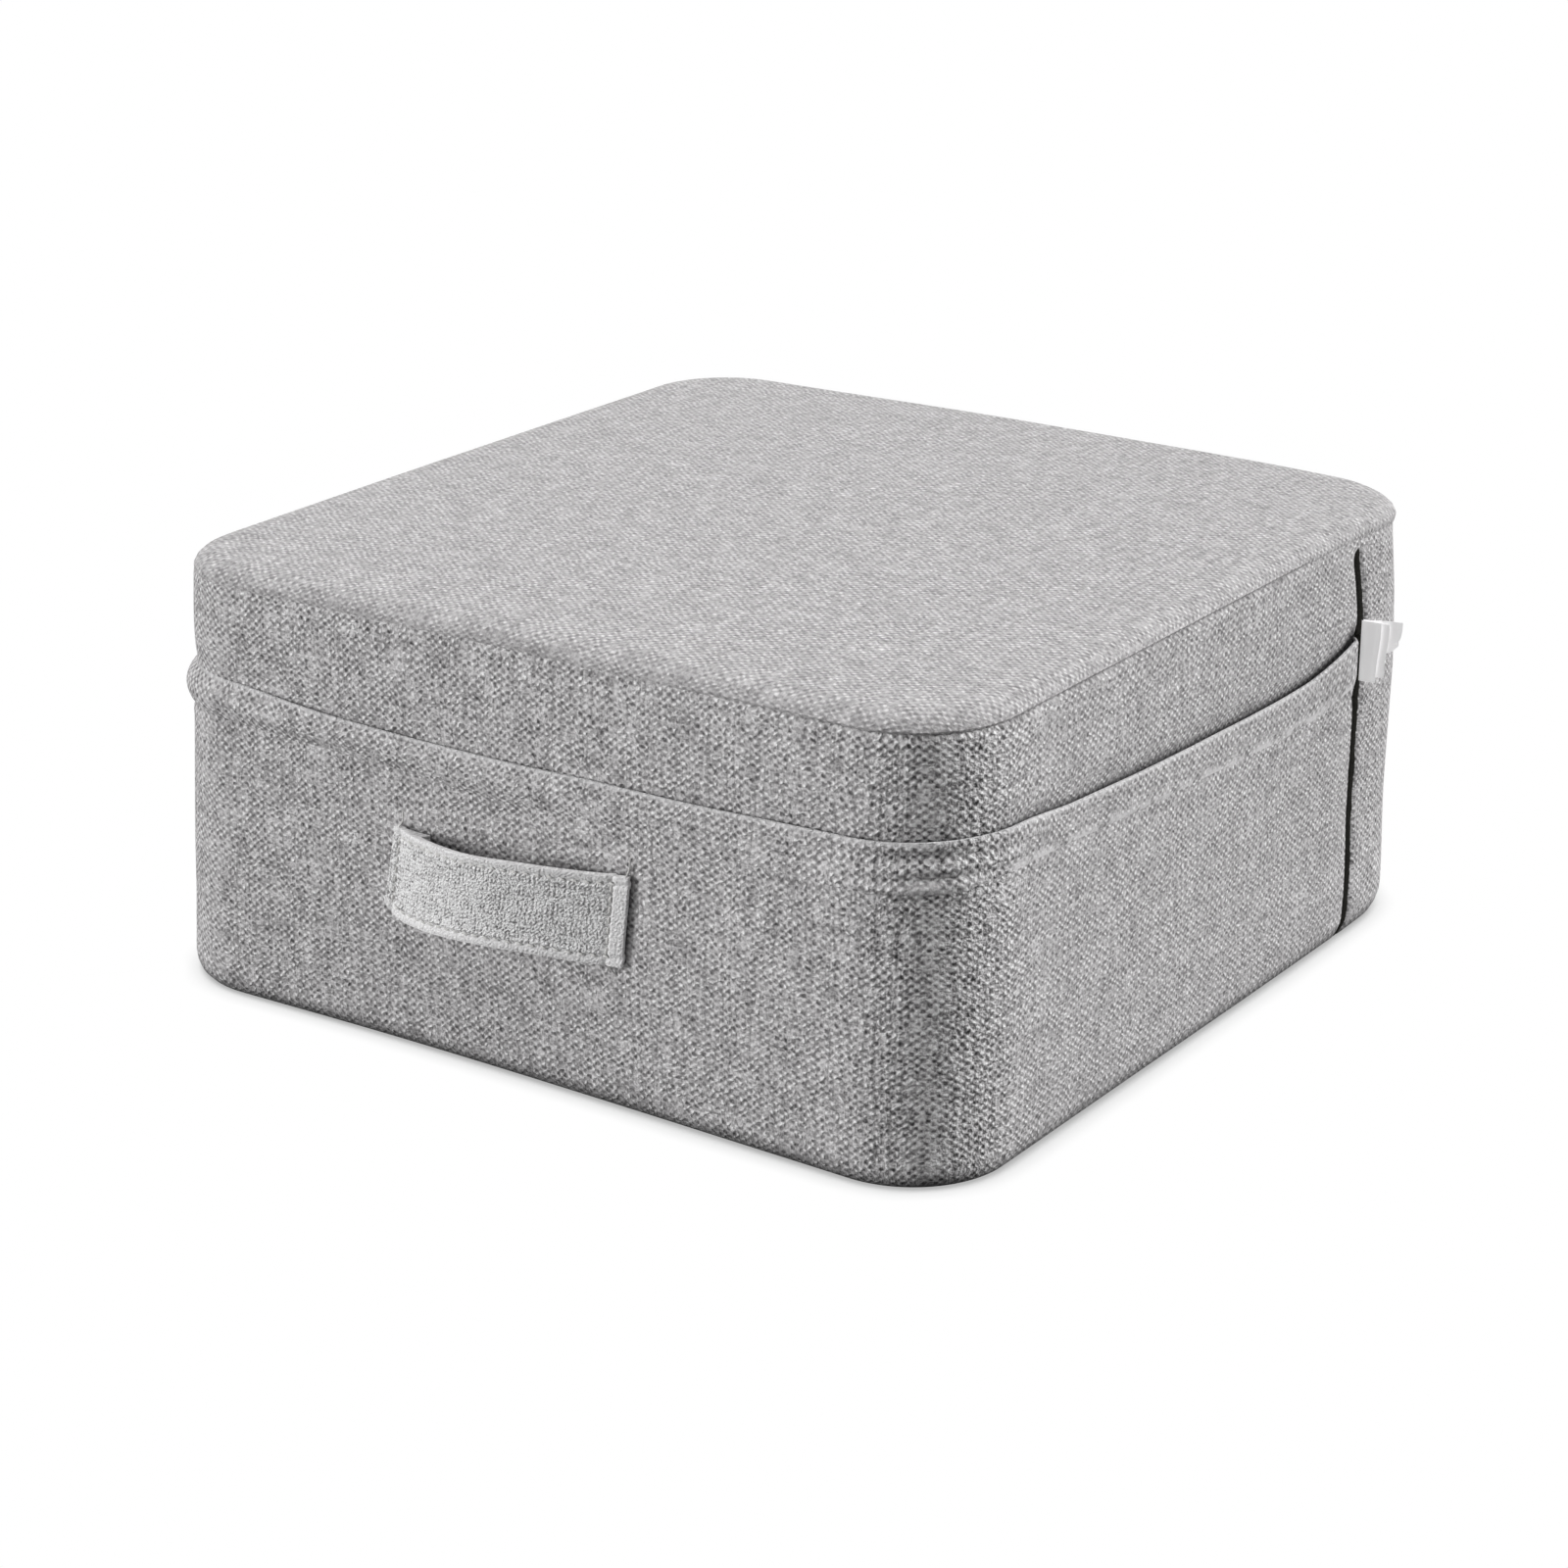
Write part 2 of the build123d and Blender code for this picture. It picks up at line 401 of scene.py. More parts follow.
def painted_light_contrast(tree, place):
    """Painted contrast of light and shade in the weave along a wall, from the middle of its front: less on
    the sides and more round the front right corner, where grazing light would show the weave most."""
    right_corner = 90 * MM
    along = add(tree, "SeparateXYZ", {0: place})
    return shared(
        tree, 1.0,
        (along, 98 * MM, 120 * MM, 1.0, 0.7),
        (along, -60 * MM, -100 * MM, 1.0, 0.8),
        (off_line(tree, along, right_corner), 4 * MM, 18 * MM, 1.45, 1.0),
        interpolation_type="SMOOTHSTEP",
    )


def heathered_cloth(name, fold=None, pressed=False, contrast=None):
    """Woven polyester with a linen look: pale upright yarns over darker crosswise ones, uneven in
    thickness, with bright beads on the crests and small dark pits, painted highlight and painted shade
    over the weave's own pattern, and painted shade in the creases and gaps. A pale line is painted
    along a fold, at that height of the flat cloth, as a highlight on the folded edge, and the cloth may
    be pressed flat in patches.
    Contrast is 1 on the front, and where none is given it follows painted light and shade round the
    walls. The yarns are drawn a little coarser than they are, so that they show in the render."""
    material, tree = start_material(name)
    mean_tone = 0.37
    place = add(tree, "TexCoord").outputs["UV"]
    pit, slub, bead = weave(tree, place, 1.0 * MM, 0.78 * MM)
    fuzz = add(tree, "TexNoise", {"Vector": place, "Scale": 1 / (0.45 * MM), "Detail": 1.0})
    # The weave's own pattern, with painted shade darkening the pits and painted highlights on the beads.
    from_mean = weighed(
        tree, (pit, -0.34), (bead, 0.48), (fuzz, 0.55), (slub, 0.42), (1.0, -0.16 - mean_tone),
    )
    tone = add(
        tree, "Math", {0: from_mean, 1: contrast or painted_light_contrast(tree, place), 2: mean_tone},
        operation="MULTIPLY_ADD",
    )
    if pressed:
        tone = pressed_flat(tree, place, tone)
    colour = add(
        tree, "ValToRGB", {"Fac": tone},
        stops=((0.0, "#484748"), (0.35, "#9a9899"), (0.65, "#dcdadb"), (1.0, "#ffffff")),
    )
    # Painted shade: ambient occlusion darkens the colour in creases, in the gap under the lid, behind the
    # strap and near the foot.
    near = add(tree, "AmbientOcclusion", {"Distance": 9 * MM}, samples=4).outputs["AO"]
    shade = add(
        tree, "ValToRGB", {"Fac": near},
        stops=((0.1, "#3c3c3c"), (0.5, "#c8c8c8"), (0.75, "#ffffff")),
    )
    colour = add(
        tree, "Mix", {"Factor": 1.0, "A": colour, "B": shade}, data_type="RGBA", blend_type="MULTIPLY",
    )
    # Painted highlight: a pale line along the fold, where the folded edge would catch the light.
    if fold is not None:
        rise = add(tree, "SeparateXYZ", {0: place}).outputs["Y"]
        fold_highlight = shared(tree, 1.0, (off_line(tree, rise, fold), 0.5 * MM, 1.1 * MM, 0.7, 0.0))
        colour = add(
            tree, "Mix", {"Factor": fold_highlight, "A": colour, "B": linear("#dddcdd")}, data_type="RGBA",
        )
    return finish_material(
        material, colour, (tone, 0.5 * MM, 1.0),
        {"Roughness": 0.92, "Specular IOR Level": 0.25, "Sheen Weight": 0.1, "Sheen Roughness": 0.6},
    )


def strap_cloth(name):
    """Strap of doubled fine canvas: a close even plain weave, paler and smoother than the covers, and
    smoother still along its turned edges. Its yarns are drawn coarse enough to show in the render."""
    material, tree = start_material(name)
    place = add(tree, "TexCoord").outputs["UV"]
    along, rise, _ = add(tree, "SeparateXYZ", {0: place}).outputs
    borders = [
        add(
            tree, "MapRange",
            {"Value": value, "From Min": edge - 0.4 * MM, "From Max": edge, "To Max": 0.7},
        )
        for value, edge in (
            (off_line(tree, rise, 0.0), strap_height / 2 - stitch_inset),
            (along, strap_width / 2 - end_band),
        )
    ]
    border = add(tree, "Math", dict(enumerate(borders)), operation="MAXIMUM")
    pit, slub, bead = weave(tree, place, 1.0 * MM, 0.95 * MM, even=True)
    fuzz = add(tree, "TexNoise", {"Vector": place, "Scale": 1 / (0.5 * MM), "Detail": 1.0})
    # The weave's own pattern, with painted shade darkening the pits and painted highlights on the beads.
    woven = weighed(tree, (pit, -0.6), (bead, 0.45), (fuzz, 2.6), (slub, 0.1), (1.0, -0.32))
    plain = weighed(tree, (fuzz, 0.5), (1.0, 0.45))
    tone = add(tree, "Mix", {"Factor": border, "A": woven, "B": plain})
    colour = add(
        tree, "ValToRGB", {"Fac": tone}, stops=((0.0, "#747273"), (0.5, "#d8d6d7"), (1.0, "#ffffff")),
    )
    return finish_material(
        material, colour, (tone, 0.3 * MM, 1.0),
        {"Roughness": 0.9, "Specular IOR Level": 0.25, "Sheen Weight": 0.1},
    )


def spun_lining(name):
    """Thin spun-bonded polyester lining: pale, nearly plain, with a faint grid of bonded dots."""
    material, tree = start_material(name)
    place = add(tree, "TexCoord").outputs["UV"]
    pit, slub, bead = weave(tree, place, 0.9 * MM, 0.9 * MM)
    tone = weighed(tree, (pit, -0.4), (bead, 0.1), (slub, 0.5), (1.0, 0.3))
    colour = add(tree, "ValToRGB", {"Fac": tone}, stops=((0.2, "#b4b3b1"), (1.0, "#d0cfcd")))
    return finish_material(material, colour, (tone, 0.12 * MM, 0.7), {"Roughness": 0.85})


def satin_ribbon(name):
    """White polyester satin ribbon: warp floats that give faint ribs, drawn coarse enough to show, and a
    soft sheen, with a painted glow, an emission that makes it look whiter than the light that falls on it."""
    material, tree = start_material(name)
    place = add(tree, "TexCoord").outputs["UV"]
    ribs = add(
        tree, "TexWave",
        {"Vector": place, "Scale": 1 / (0.35 * MM) / 20, "Distortion": 0.6, "Detail": 1.0},
        bands_direction="X",
    ).outputs["Fac"]
    colour = add(tree, "ValToRGB", {"Fac": ribs}, stops=((0.0, "#dcdadb"), (1.0, "#f0eff0")))
    return finish_material(
        material, colour, (ribs, 0.02 * MM, 0.4),
        {
            "Roughness": 0.5, "Sheen Weight": 0.2,
            # Painted light: the label glows a little, though it is no lamp.
            "Emission Color": linear("#ffffff"), "Emission Strength": 0.35,
        },
    )


def fibrous(name, fibre, stops, relief, surface):
    """A finish of random fibres, of a (size, detail, roughness), darker to lighter through its stops,
    with a relief of a (depth, strength)."""
    material, tree = start_material(name)
    size, detail, roughness = fibre
    place = add(tree, "TexCoord").outputs["Object"]
    fibres = add(
        tree, "TexNoise",
        {"Vector": place, "Scale": 1 / size, "Detail": detail, "Roughness": roughness},
    )
    colour = add(tree, "ValToRGB", {"Fac": fibres}, stops=stops)
    return finish_material(material, colour, (fibres, *relief), surface)


def binding_tape(name):
    """Near-black polyester binding, brushed so that its edge looks a little ragged."""
    return fibrous(
        name, (0.5 * MM, 3.0, 0.5), ((0.0, "#0d0d0b"), (1.0, "#2c2b27")), (0.25 * MM, 0.8),
        {"Roughness": 0.95, "Specular IOR Level": 0.1},
    )


def sewing_thread(name):
    """Spun polyester sewing thread: matt and a little hairy, a shade lighter than the strap."""
    return fibrous(
        name, (0.35 * MM, 2.0, 0.5), ((0.0, "#c4c3c1"), (1.0, "#f2f1ef")), (0.08 * MM, 0.6),
        {"Roughness": 0.7},
    )


def grey_board(name):
    """Pressed pulp board: matt warm grey with darker flecks of fibre."""
    return fibrous(
        name, (1.5 * MM, 4.0, 0.7), ((0.3, "#7b766e"), (0.7, "#a8a298")), (0.1 * MM, 0.5),
        {"Roughness": 0.9},
    )


def soft_foam(name):
    """Open-cell polyurethane foam: cream, with open pores, drawn coarse enough to show."""
    material, tree = start_material(name)
    place = add(tree, "TexCoord").outputs["Object"]
    pores = add(tree, "TexVoronoi", {"Vector": place, "Scale": 1 / (1.2 * MM)})
    colour = add(tree, "ValToRGB", {"Fac": pores}, stops=((0.0, "#b9b29a"), (1.0, "#efe9d6")))
    return finish_material(material, colour, (pores, 0.5 * MM, 0.8), {"Roughness": 0.95})


cover_cloth = heathered_cloth("heathered_linen_look_polyester")
# Half the weave's contrast, painted calmer on the lid top to match how the even light from above shows it;
# the base cloth shares it.
flat_cover_cloth = heathered_cloth("heathered_linen_look_flat", contrast=0.5)
collar_cloth = heathered_cloth("heathered_linen_look_fold", fold=0.0, pressed=True)
webbing = strap_cloth("cotton_look_webbing")
lining_cloth = spun_lining("spun_bonded_lining")
black_binding = binding_tape("black_seam_binding")
white_satin = satin_ribbon("white_satin_ribbon")
thread = sewing_thread("spun_polyester_thread")
foam = soft_foam("open_cell_foam")
board = grey_board("pressed_pulp_board")


# Walls with round corners

def round_wall(along, half_x, half_y, radius):
    """A place on a wall with round corners, that far along from the middle of its front, and the
    direction out of the wall there."""
    side = math.copysign(1, along)
    straight = half_x - radius
    turn = radius * math.pi / 2
    past = abs(along) - straight
    if past <= 0:
        return Vector((along, -half_y, 0)), Vector((0, -1, 0))
    if past <= turn:
        angle = past / radius
        out = Vector((side * math.sin(angle), -math.cos(angle), 0))
        return Vector((side * straight, radius - half_y, 0)) + radius * out, out
    return Vector((side * half_x, radius - half_y + past - turn, 0)), Vector((side, 0, 0))


def wall_reach(half_x, half_y, radius, seam):
    """How far along such a wall its side seam is, from the middle of the front."""
    return half_x - radius + radius * math.pi / 2 + half_y - radius + seam


def all_round(along, half_x, half_y, radius):
    """The same place and direction for a wall that goes on round the back, to the middle of it."""
    quarter = wall_reach(half_x, half_y, radius, 0)
    if abs(along) <= quarter:
        return round_wall(along, half_x, half_y, radius)
    spot, out = round_wall(along - math.copysign(2 * quarter, along), half_x, half_y, radius)
    return -spot, -out


def turned_edge(room, roll):
    """How far in a cloth goes where its edge rolls into a seam, with that much room left to the edge."""
    if room >= roll:
        return 0.0
    return roll - math.sqrt(max(roll ** 2 - (roll - room) ** 2, 0.0))


def rounded_cut(across, up, half_x, half_y, radius):
    """Where a point of a square grid goes on a cut with round corners."""
    over_x = abs(across) - (half_x - radius)
    over_y = abs(up) - (half_y - radius)
    if over_x <= 0 or over_y <= 0:
        return across, up
    pull = max(over_x, over_y) / math.hypot(over_x, over_y)
    return (
        math.copysign(half_x - radius + over_x * pull, across),
        math.copysign(half_y - radius + over_y * pull, up),
    )


def to_cut_edge(x, y, half_x, half_y, radius):
    """How far a point of such a cut is from its edge, up to the radius of its corners."""
    return radius - math.hypot(
        max(abs(x) - (half_x - radius), 0.0),
        max(abs(y) - (half_y - radius), 0.0),
    )


base_turn = (base_edge_in + base_edge_up) / 2 * math.pi / 2


def base_profile(up):
    """Distance out from the wall and height of a cloth that comes round the soft edge of the base."""
    if up < base_turn:
        angle = up / base_turn * math.pi / 2
        return base_edge_in * (math.sin(angle) - 1), base_edge_up * (1 - math.cos(angle))
    return 0.0, base_edge_up + up - base_turn


def base_length(top):
    """Length of such a cloth from the base up to a level."""
    return base_turn + top - base_edge_up


# Height of the collar's top edge and of its sewn lower edge, how far it stands out from the wall, how
# far it bellies out between its edges, and how far the foot of the wall lies outside a true upright
# wall, all in millimetres, against the distance along the wall from the middle of the front
rim_line = [
    (-242, 65.0), (-225, 62.5), (-190, 62.5), (-150, 64.5), (-107, 66.8), (-72, 66.5), (-45, 64.9),
    (-6, 64.5), (17, 65.1), (46, 65.7), (75, 66.9), (107, 67.3), (128, 65.2), (166, 63.1),
    (196, 62.0), (219, 61.9), (233, 63.6), (242, 65.6),
]
hem_line = [
    (-242, 54.5), (-190, 53.5), (-107, 58.5), (-40, 57.6), (0, 57.4), (75, 58.2), (100, 58.4),
    (150, 55.6), (195, 53.0), (222, 52.4), (242, 54.0),
]
stand_line = [
    (-242, 0.3), (-190, 0.1), (-107, -0.8), (-85, -0.3), (-60, 0.3), (-35, 0.1), (0, -0.3),
    (60, -0.1), (107, 0.3), (140, 0.45), (242, 0.45),
]
belly_line = [
    (-242, 0.3), (-190, 0.6), (-107, 2.3), (-72, 1.5), (-40, 0.9), (-8, 1.0), (25, 0.4),
    (60, 0.15), (242, 0.0),
]
foot_line = [
    (-242, 0), (-115, 0), (-75, -0.8), (0, -0.8), (60, -0.3), (90, 0), (150, 0.6), (200, 1.2),
    (242, 1.4),
]
right_end = foot_line[-1][0] * MM

# How far the soft front left corner bulges at its foot and is drawn in higher up, and how far back the
# right-hand seam wanders from a straight line, on the case and on the lid, by height
lean_line = [(0, 2.2), (8, 1.4), (20, 0.2), (33, -0.5), (58, -1.2), (66, -1.5)]
case_seam_line = [(0, -4.4), (2, -3.9), (5, -2.3), (16, -0.7), (33, 0.1), (54, 0.4), (59, 0.5)]
lid_seam_line = [(59, 0.6), (62, 2.2), (67, 2.9), (75, 1.6), (83, -0.6), (90, -1.0)]


def lean(along, level):
    """How far the front left corner lies outside a true round corner."""
    return hill(along, -95 * MM, 50 * MM) * read_off(lean_line, level)


def foot(along, level):
    """How far the soft foot of the wall bulges or draws in."""
    return read_off(foot_line, along) * (1 - smooth(2 * MM, 32 * MM, level))


def seam_closed(level):
    """From 0 on most of the lid's upright seams to 1 where they close under the top seam."""
    return smooth(top_seam - 4.5 * MM, top_seam - 1.5 * MM, level)


def seam_edge(to_edge, level, seed):
    """How far the cut edge at an upright seam draws back from the seam, near that edge: unevenly along
    most of it, and not at all under the top seam, where it closes up instead."""
    drawn = seam_spread + 0.3 * MM * ripple(0, level, 3.2 * MM, seed)
    closed = seam_closed(level)
    return (drawn * (1 - closed) - (seam_back - seam_middle) * closed) * (1 - smooth(0, 6 * MM, to_edge))


def corner_creases(along, level):
    """Flat creases that run round the front corners in the collar and just under it."""
    strength = hill(along, 87 * MM, 13 * MM) + 0.3 * hill(along, -95 * MM, 15 * MM)
    depth = 0.0
    rim = read_off(rim_line, along)
    for drop, width, deep in ((2.9, 0.8, 0.8), (5.2, 0.7, -0.3), (7.0, 0.6, 0.6), (8.4, 0.7, -0.4)):
        tilt = 0.012 * (along - 92 * MM) * math.copysign(1, drop - 5)
        depth -= deep * MM * hill(level, rim - drop * MM + tilt, width * MM)
    return depth * strength


# Case: the wrap of front and sides

wrap_reach = wall_reach(*case_wall, seam_front)


def make_case_wrap():
    height = base_length(ledge)
    wrap = flat_cloth("case_wrap", 2 * wrap_reach, height)

    def place(across, up):
        spot, out = round_wall(across, *case_wall)
        out_by, level = base_profile(up + height / 2)
        to_edge = wrap_reach - abs(across)
        to_right_seam = wrap_reach - across
        hem = read_off(hem_line, across)
        out_by -= turned_edge(to_edge, seam_roll)
        ease = smooth(0, 12 * MM, level) * smooth(0, 10 * MM, to_edge)
        out_by += ease * 0.45 * MM * ripple(across, level, 38 * MM, 1.5)
        out_by += ease * 0.4 * MM * math.sin(math.pi * level / ledge)
        out_by += lean(across, level) + foot(across, level) + corner_creases(across, level)
        out_by -= 0.35 * MM * smooth(hem, hem + 3 * MM, level)
        out_by -= 0.6 * MM * hill(across, -8 * MM, 22 * MM) * hill(level, hem - 4 * MM, 4 * MM)
        crease_level = 53.5 * MM - 0.5 * to_right_seam
        out_by -= 0.7 * MM * hill(to_right_seam, 0, 5 * MM) * hill(level, crease_level, 0.8 * MM)
        spot.y += read_off(case_seam_line, level) * smooth(wrap_reach - 35 * MM, wrap_reach, across)
        spot.y -= seam_edge(to_edge, level, 51)
        return spot + out_by * out + Vector((0, 0, level))

    make_up(wrap, place, cloth_thickness, "case", cover_cloth)
    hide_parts("case_cover")


# Collar: a doubled strip, folded along its top edge

def make_collar():
    fold = 0.45 * MM
    drop = 8.5 * MM
    length = 2 * drop + math.pi * fold
    strip = flat_cloth("collar_band", 2 * wrap_reach, length, step=1.1 * MM, step_up=0.5 * MM)

    def place(across, up):
        spot, out = round_wall(across, *case_wall)
        rim = read_off(rim_line, across)
        hem = read_off(hem_line, across)
        stand = read_off(stand_line, across) + 0.2 * MM * ripple(across, 0, 24 * MM, 4.2)
        way = up + length / 2
        if way < drop:
            share = way / drop
            low = hem - 0.8 * MM
            level = low + (rim - fold - low) * share
            edge = -0.35 * MM + 0.9 * MM * hill(across, 70 * MM, 28 * MM)
            out_by = edge + (stand - edge) * smooth(low, low + 5 * MM, level)
            out_by += 0.35 * MM * hill(across, 150 * MM, 40 * MM) * hill(level, hem + 1.5 * MM, 1.2 * MM)
            out_by += read_off(belly_line, across) * math.sin(math.pi * share)
        elif way < drop + math.pi * fold:
            angle = (way - drop) / fold
            level = rim - fold + fold * math.sin(angle)
            out_by = stand - fold + fold * math.cos(angle)
        else:
            share = (way - drop - math.pi * fold) / drop
            level = rim - fold - (rim - fold - ledge - 0.3 * MM) * share
            out_by = stand - 2 * fold
        out_by += lean(across, level) + corner_creases(across, level)
        out_by -= turned_edge(wrap_reach - abs(across), seam_roll)
        return spot + out_by * out + Vector((0, 0, level))

    make_up(strip, place, collar_thickness, "case", collar_cloth)
    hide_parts("collar")


# The soft lid sags a little to the left, and its front left corner is drawn in

def lid_sag(spot):
    share = smooth(lid_bottom, top_seam, spot.z)
    rear_right = Vector((lid_half_width, lid_back, spot.z))
    drop = 1.0 * MM * smooth(0, 90 * MM, -spot.x) + 0.9 * MM * hill((spot - rear_right).length, 0, 28 * MM)
    return spot - Vector((0, 0, share * drop))


def lid_pull(spot):
    corner = Vector((-lid_half_width, lid_front, spot.z))
    stiff_level, soft_level = 62 * MM, 69 * MM
    above_board = 0.25 + 0.75 * smooth(stiff_level, soft_level, spot.z)
    inward = 1.2 * MM * above_board * hill((spot - corner).length, 0, 55 * MM)
    return lid_sag(spot + inward * Vector((0.8, 0.6, 0)))


# Back panel: one cloth from the base to the top seam of the lid, with its fold line at the hinge

def make_back_panel():
    reach = wall_reach(*case_wall, -seam_back)
    height = base_length(top_seam)
    panel = flat_cloth("back_panel", 2 * reach, height)
    lid_step = half_width - lid_half_width

    def place(across, up):
        spot, out = round_wall(across, *case_wall)
        out_by, level = base_profile(up + height / 2)
        to_edge = reach - abs(across)
        out_by -= turned_edge(to_edge, seam_roll) * (1 - seam_closed(level))
        out_by -= turned_edge(top_seam - level, seam_groove)
        out_by -= 0.5 * MM * hill(level, hinge.z, 1.6 * MM) * (1 - abs(out.x))
        ease = smooth(0, 12 * MM, level) * smooth(0, 8 * MM, to_edge)
        ease *= smooth(0, 6 * MM, abs(level - hinge.z)) * smooth(0, 6 * MM, top_seam - level)
        out_by += ease * 0.4 * MM * ripple(across, level, 34 * MM, 7.5)
        out_by -= lid_step * abs(out.x) * smooth(hinge.z - 6 * MM, hinge.z + 8 * MM, level)
        out_by -= back_lean * abs(out.y) * smooth(hinge.z, top_seam, level)
        near_right_seam = 1 - smooth(0, 45 * MM, reach + across)
        out_by += near_right_seam * foot(right_end, level)
        out_by -= 0.6 * MM * hill(across, -90 * MM, 35 * MM) * math.sin(math.pi * min(level / ledge, 1))
        seam_line = case_seam_line if level < hinge.z else lid_seam_line
        spot = spot + out_by * out
        spot.y -= near_right_seam * read_off(seam_line, level) + seam_edge(to_edge, level, 52)
        spot = Vector((-spot.x, -spot.y, level))
        return lid_sag(spot) if level > hinge.z else spot

    lay(panel, place)
    open_slits(panel, half_width - corner_radius)
    outer = len(panel.data.vertices)
    thicken(panel, cloth_thickness)
    for face_point, inner_point in zip(panel.data.vertices[:outer], panel.data.vertices[outer:]):
        if abs(face_point.co.z - hinge.z) < 2 * MM:
            inner_point.co.z = face_point.co.z
    coat(panel, heathered_cloth("heathered_linen_look_hinge", fold=base_length(hinge.z) - height / 2))
    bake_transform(panel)
    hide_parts("rear_cover", "lid_rear_cover", "hinge_fold")


def open_slits(panel, straight):
    """Cuts the panel along the hinge line where it goes round the corners, leaving only its straight part
    whole across the fold line."""
    pick(panel)
    bpy.ops.object.mode_set(mode="EDIT")
    for level in (hinge.z - slit, hinge.z + slit):
        bpy.ops.mesh.select_all(action="SELECT")
        bpy.ops.mesh.bisect(plane_co=(0, 0, level), plane_no=(0, 0, 1))
    bpy.ops.mesh.select_all(action="DESELECT")
    bpy.ops.object.mode_set(mode="OBJECT")
    for face in panel.data.polygons:
        face.select = abs(face.center.z - hinge.z) < slit and abs(face.center.x) > straight
    bpy.ops.object.mode_set(mode="EDIT")
    bpy.ops.mesh.select_mode(type="FACE")
    bpy.ops.mesh.delete(type="FACE")
    bpy.ops.object.mode_set(mode="OBJECT")


# Lid: the crowned pad, its top panel and the boxing strip

def seam_depth(spot):
    """How much of the top seam's groove shows: all of it on the right near the front, little elsewhere."""
    return (0.3 + 1.5 * smooth(20 * MM, 75 * MM, spot.x)) * (1 - 0.7 * smooth(0, 60 * MM, spot.y))


def lid_surface(inset):
    """Size of the flat cut that covers the top of the lid, and where its points go: a crowned middle,
    a soft roll at the edges and a small tuck into the seam. Inset sinks it all below the cover."""
    back = lid_back - back_lean
    centre_y = (lid_front + back) / 2
    roll_out = top_roll_out - inset
    roll_up = top_roll_up - inset
    half_x = lid_half_width - top_roll_out
    half_y = (back - lid_front) / 2 - top_roll_out
    radius = lid_corner_radius - top_roll_out
    turn = (roll_out + roll_up) / 2 * math.pi / 2
    tuck = seam_groove * math.pi / 2
    cut_x = half_x + turn + tuck
    cut_y = half_y + turn + tuck
    cut_radius = radius + turn + tuck

    def rounded(across, up):
        """Pulls the corners of the square grid in to the round corners of the cut."""
        return Vector((*rounded_cut(across, up, cut_x, cut_y, cut_radius), 0))

    def place(across, up):
        over_x = max(abs(across) - (half_x - radius), 0.0)
        over_y = max(abs(up) - (half_y - radius), 0.0)
        far = math.hypot(over_x, over_y)
        past = far - radius
        flat = Vector((across, centre_y + up, 0))
        if past <= 0:
            crown = top_crown
            for reach, half in ((across, half_x), (up, half_y)):
                crown *= 1 - min(abs(reach) / half, 1) ** 2.6
            crown += 0.35 * MM * ripple(across, up, 42 * MM, 11.3) * smooth(0, 15 * MM, -past)
            return lid_pull(flat + Vector((0, 0, top_seam + roll_up + crown)))
        out = Vector((math.copysign(over_x, across), math.copysign(over_y, up), 0)) / far
        brink = flat - past * out
        if past < turn:
            angle = past / turn * math.pi / 2
            out_by = roll_out * math.sin(angle)
            level = top_seam + roll_up * math.cos(angle)
        else:
            angle = (past - turn) / seam_groove
            out_by = roll_out - seam_depth(brink) * seam_groove * (1 - math.cos(angle))
            level = top_seam - seam_groove * math.sin(angle)
        return lid_pull(brink + out_by * out + Vector((0, 0, level)))

    return (2 * cut_x, 2 * cut_y), rounded, place


def make_lid_top():
    cut, rounded, place = lid_surface(0)
    panel = flat_cloth("lid_top_panel", *cut)
    lay(panel, rounded)
    map_flat(panel)
    make_up(panel, place, cloth_thickness, "lid", flat_cover_cloth)
    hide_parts("lid_top_cover")


def make_lid_pad():
    """The foam pad: the same crowned top, a cloth's thickness lower, with sides that go down to the
    board and a little in."""
    cut, rounded, place = lid_surface(cloth_thickness + 0.1 * MM)
    pad = flat_cloth("lid_pad", *cut, step=3 * MM)
    lay(pad, rounded)
    lay(pad, place)
    pick(pad)
    bpy.ops.object.mode_set(mode="EDIT")
    bpy.ops.mesh.select_mode(type="EDGE")
    bpy.ops.mesh.select_all(action="DESELECT")
    bpy.ops.mesh.select_non_manifold()
    bpy.ops.mesh.extrude_region_move(
        TRANSFORM_OT_translate={"value": (0, 0, foam_bottom - top_seam + seam_groove)},
    )
    bpy.ops.transform.resize(
        value=(pad_taper, pad_taper, 1), center_override=(0, lid_centre_y, foam_bottom),
    )
    bpy.ops.mesh.edge_face_add()
    bpy.ops.mesh.select_all(action="SELECT")
    bpy.ops.mesh.normals_make_consistent(inside=False)
    bpy.ops.object.mode_set(mode="OBJECT")
    dress(pad, "lid", foam)
    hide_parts("lid_foam")


